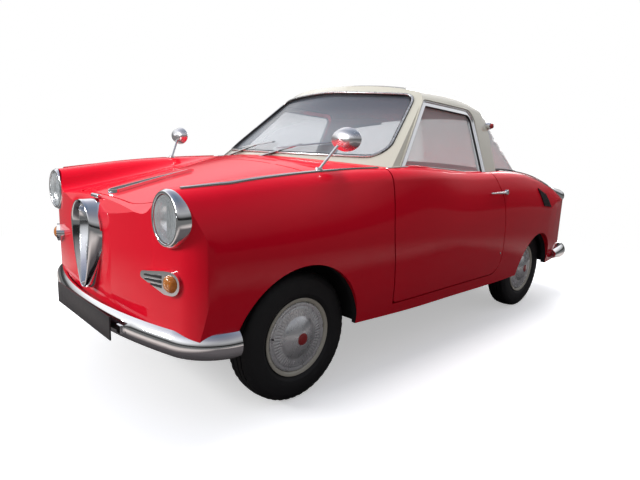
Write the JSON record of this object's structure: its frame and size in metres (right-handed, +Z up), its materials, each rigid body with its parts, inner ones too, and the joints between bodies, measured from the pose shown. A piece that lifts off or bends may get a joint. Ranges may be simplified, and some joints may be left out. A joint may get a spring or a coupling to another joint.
{
  "type": "microcar coupe",
  "caption": "Small two-door rear-engined coupe with rounded wings, egg-shaped grille, wrap-round rear window, opening doors and lids, and steered front wheels.",
  "frame": {"origin": "on the ground, under the middle of the car's length and width", "axes": "+Z up, front of the car towards -Y, the car's left is +X, length along Y"},
  "size_m": [1.3716, 3.035, 1.2349],
  "materials": {
    "body_red": "gloss",
    "roof_cream": "gloss",
    "chrome": "polished",
    "glass": "clear",
    "lamp_glass": "clear",
    "amber_lens": "gloss",
    "red_lens": "gloss",
    "black_paint": "satin",
    "plate_black": "gloss",
    "tyre": "matte",
    "wheel_silver": "satin",
    "trim_plastic": "matte",
    "seat_cover": "satin",
    "cast_parts": "matte",
    "engine_alloy": "cast",
    "exhaust_steel": "dull",
    "floor_paint": "matte"
  },
  "bodies": {
    "shell": {"front_body": "body_red", "rear_body": "body_red", "sills": "body_red", "floor_pan": "floor_paint", "roof": "roof_cream", "windscreen": "glass", "rear_window": "glass", "front_bumper": "chrome", "rear_bumper": "chrome", "number_plate": "plate_black", "grille_surround": "chrome", "grille_mesh": "chrome", "bonnet_handle": "chrome", "headlamp_rims": "chrome", "headlamp_lenses": "lamp_glass", "indicator_pods": "chrome", "indicator_lenses": "amber_lens", "rear_lamp_pods": "chrome", "rear_lamp_lenses": "red_lens", "wing_strips": "chrome", "side_louvres": "black_paint", "mirrors": "chrome", "wipers": "chrome", "dashboard": "trim_plastic", "front_seats": "seat_cover", "rear_bench": "seat_cover", "steering_column": "cast_parts", "front_axle": "cast_parts", "rear_axle": "cast_parts", "engine": "engine_alloy", "exhaust": "exhaust_steel"},
    "door_left": {"door_left": "body_red", "door_frame_left": "chrome", "door_glass_left": "glass", "door_handle_left": "chrome"},
    "door_right": {"door_right": "body_red", "door_frame_right": "chrome", "door_glass_right": "glass", "door_handle_right": "chrome"},
    "bonnet": {"bonnet": "body_red", "bonnet_ornament": "chrome"},
    "engine_lid": {"engine_lid": "body_red"},
    "steering_wheel": {"steering_wheel": "trim_plastic"},
    "knuckle_left": {"knuckle_left": "cast_parts"},
    "knuckle_right": {"knuckle_right": "cast_parts"},
    "wheel_front_left": {"tyre_front_left": "tyre", "wheel_front_left": "wheel_silver"},
    "wheel_front_right": {"tyre_front_right": "tyre", "wheel_front_right": "wheel_silver"},
    "wheel_rear_left": {"tyre_rear_left": "tyre", "wheel_rear_left": "wheel_silver"},
    "wheel_rear_right": {"tyre_rear_right": "tyre", "wheel_rear_right": "wheel_silver"}
  },
  "joints": [
    {"name": "door_left_hinge", "type": "hinge", "parent": "shell", "child": "door_left", "pos_m": [0.684, -0.577, 0.5], "axis": [0, 0, -1], "range_deg": [0, 62]},
    {"name": "door_right_hinge", "type": "hinge", "parent": "shell", "child": "door_right", "pos_m": [-0.684, -0.577, 0.5], "axis": [0, 0, 1], "range_deg": [0, 62]},
    {"name": "bonnet_hinge", "type": "hinge", "parent": "shell", "child": "bonnet", "pos_m": [0, -0.803, 0.838], "axis": [-1, 0, 0], "range_deg": [0, 48]},
    {"name": "engine_lid_hinge", "type": "hinge", "parent": "shell", "child": "engine_lid", "pos_m": [0, 1.123, 0.738], "axis": [1, 0, 0], "range_deg": [0, 50]},
    {"name": "steering_wheel_turn", "type": "hinge", "parent": "shell", "child": "steering_wheel", "pos_m": [0.275, -0.3, 0.69], "axis": [0, 0.829, 0.5592], "range_deg": [-360, 360]},
    {"name": "steer_left", "type": "hinge", "parent": "shell", "child": "knuckle_left", "pos_m": [0.5, -0.9775, 0.2377], "axis": [0, 0, 1], "range_deg": [-24, 24]},
    {"name": "steer_right", "type": "hinge", "parent": "shell", "child": "knuckle_right", "pos_m": [-0.5, -0.9775, 0.2377], "axis": [0, 0, 1], "range_deg": [-24, 24]},
    {"name": "spin_front_left", "type": "hinge", "parent": "knuckle_left", "child": "wheel_front_left", "pos_m": [0.545, -0.9775, 0.2377], "axis": [1, 0, 0], "continuous": true},
    {"name": "spin_rear_left", "type": "hinge", "parent": "shell", "child": "wheel_rear_left", "pos_m": [0.535, 0.8225, 0.2377], "axis": [1, 0, 0], "continuous": true},
    {"name": "spin_front_right", "type": "hinge", "parent": "knuckle_right", "child": "wheel_front_right", "pos_m": [-0.545, -0.9775, 0.2377], "axis": [1, 0, 0], "continuous": true},
    {"name": "spin_rear_right", "type": "hinge", "parent": "shell", "child": "wheel_rear_right", "pos_m": [-0.535, 0.8225, 0.2377], "axis": [1, 0, 0], "continuous": true}
  ],
  "couplings": [
    {"joint": "steer_left", "follows": "steering_wheel_turn", "ratio": 0.0666},
    {"joint": "steer_right", "follows": "steering_wheel_turn", "ratio": 0.0666}
  ]
}
